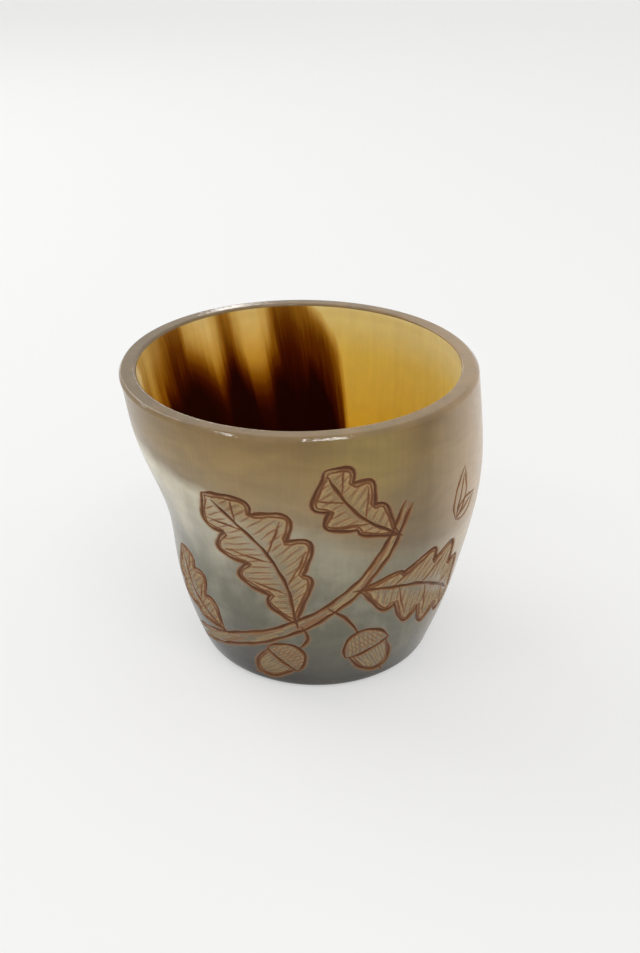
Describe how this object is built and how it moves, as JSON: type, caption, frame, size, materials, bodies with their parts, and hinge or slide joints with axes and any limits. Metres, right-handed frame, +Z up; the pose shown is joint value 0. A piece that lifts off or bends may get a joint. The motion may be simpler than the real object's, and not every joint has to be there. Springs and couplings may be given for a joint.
{
  "type": "horn drinking cup",
  "caption": "Oval tapered drinking cup of polished animal horn with a rounded lip, an engraved front and a horn disc sprung into the foot.",
  "frame": {"origin": "middle of the foot ring, on the surface the cup stands on", "axes": "+Z up out of the mouth, +X along the oval's length, -Y towards the engraved front"},
  "size_m": [0.0879, 0.0868, 0.075],
  "materials": {
    "horn": "polished translucent ox horn, amber inside with dark streaks",
    "disc_horn": "flat-pressed ox horn, satin",
    "wax": "dark beeswax and resin bead, satin"
  },
  "bodies": {
    "root": {"horn_wall": "horn", "base_disc": "disc_horn", "base_seal": "wax"}
  },
  "joints": []
}
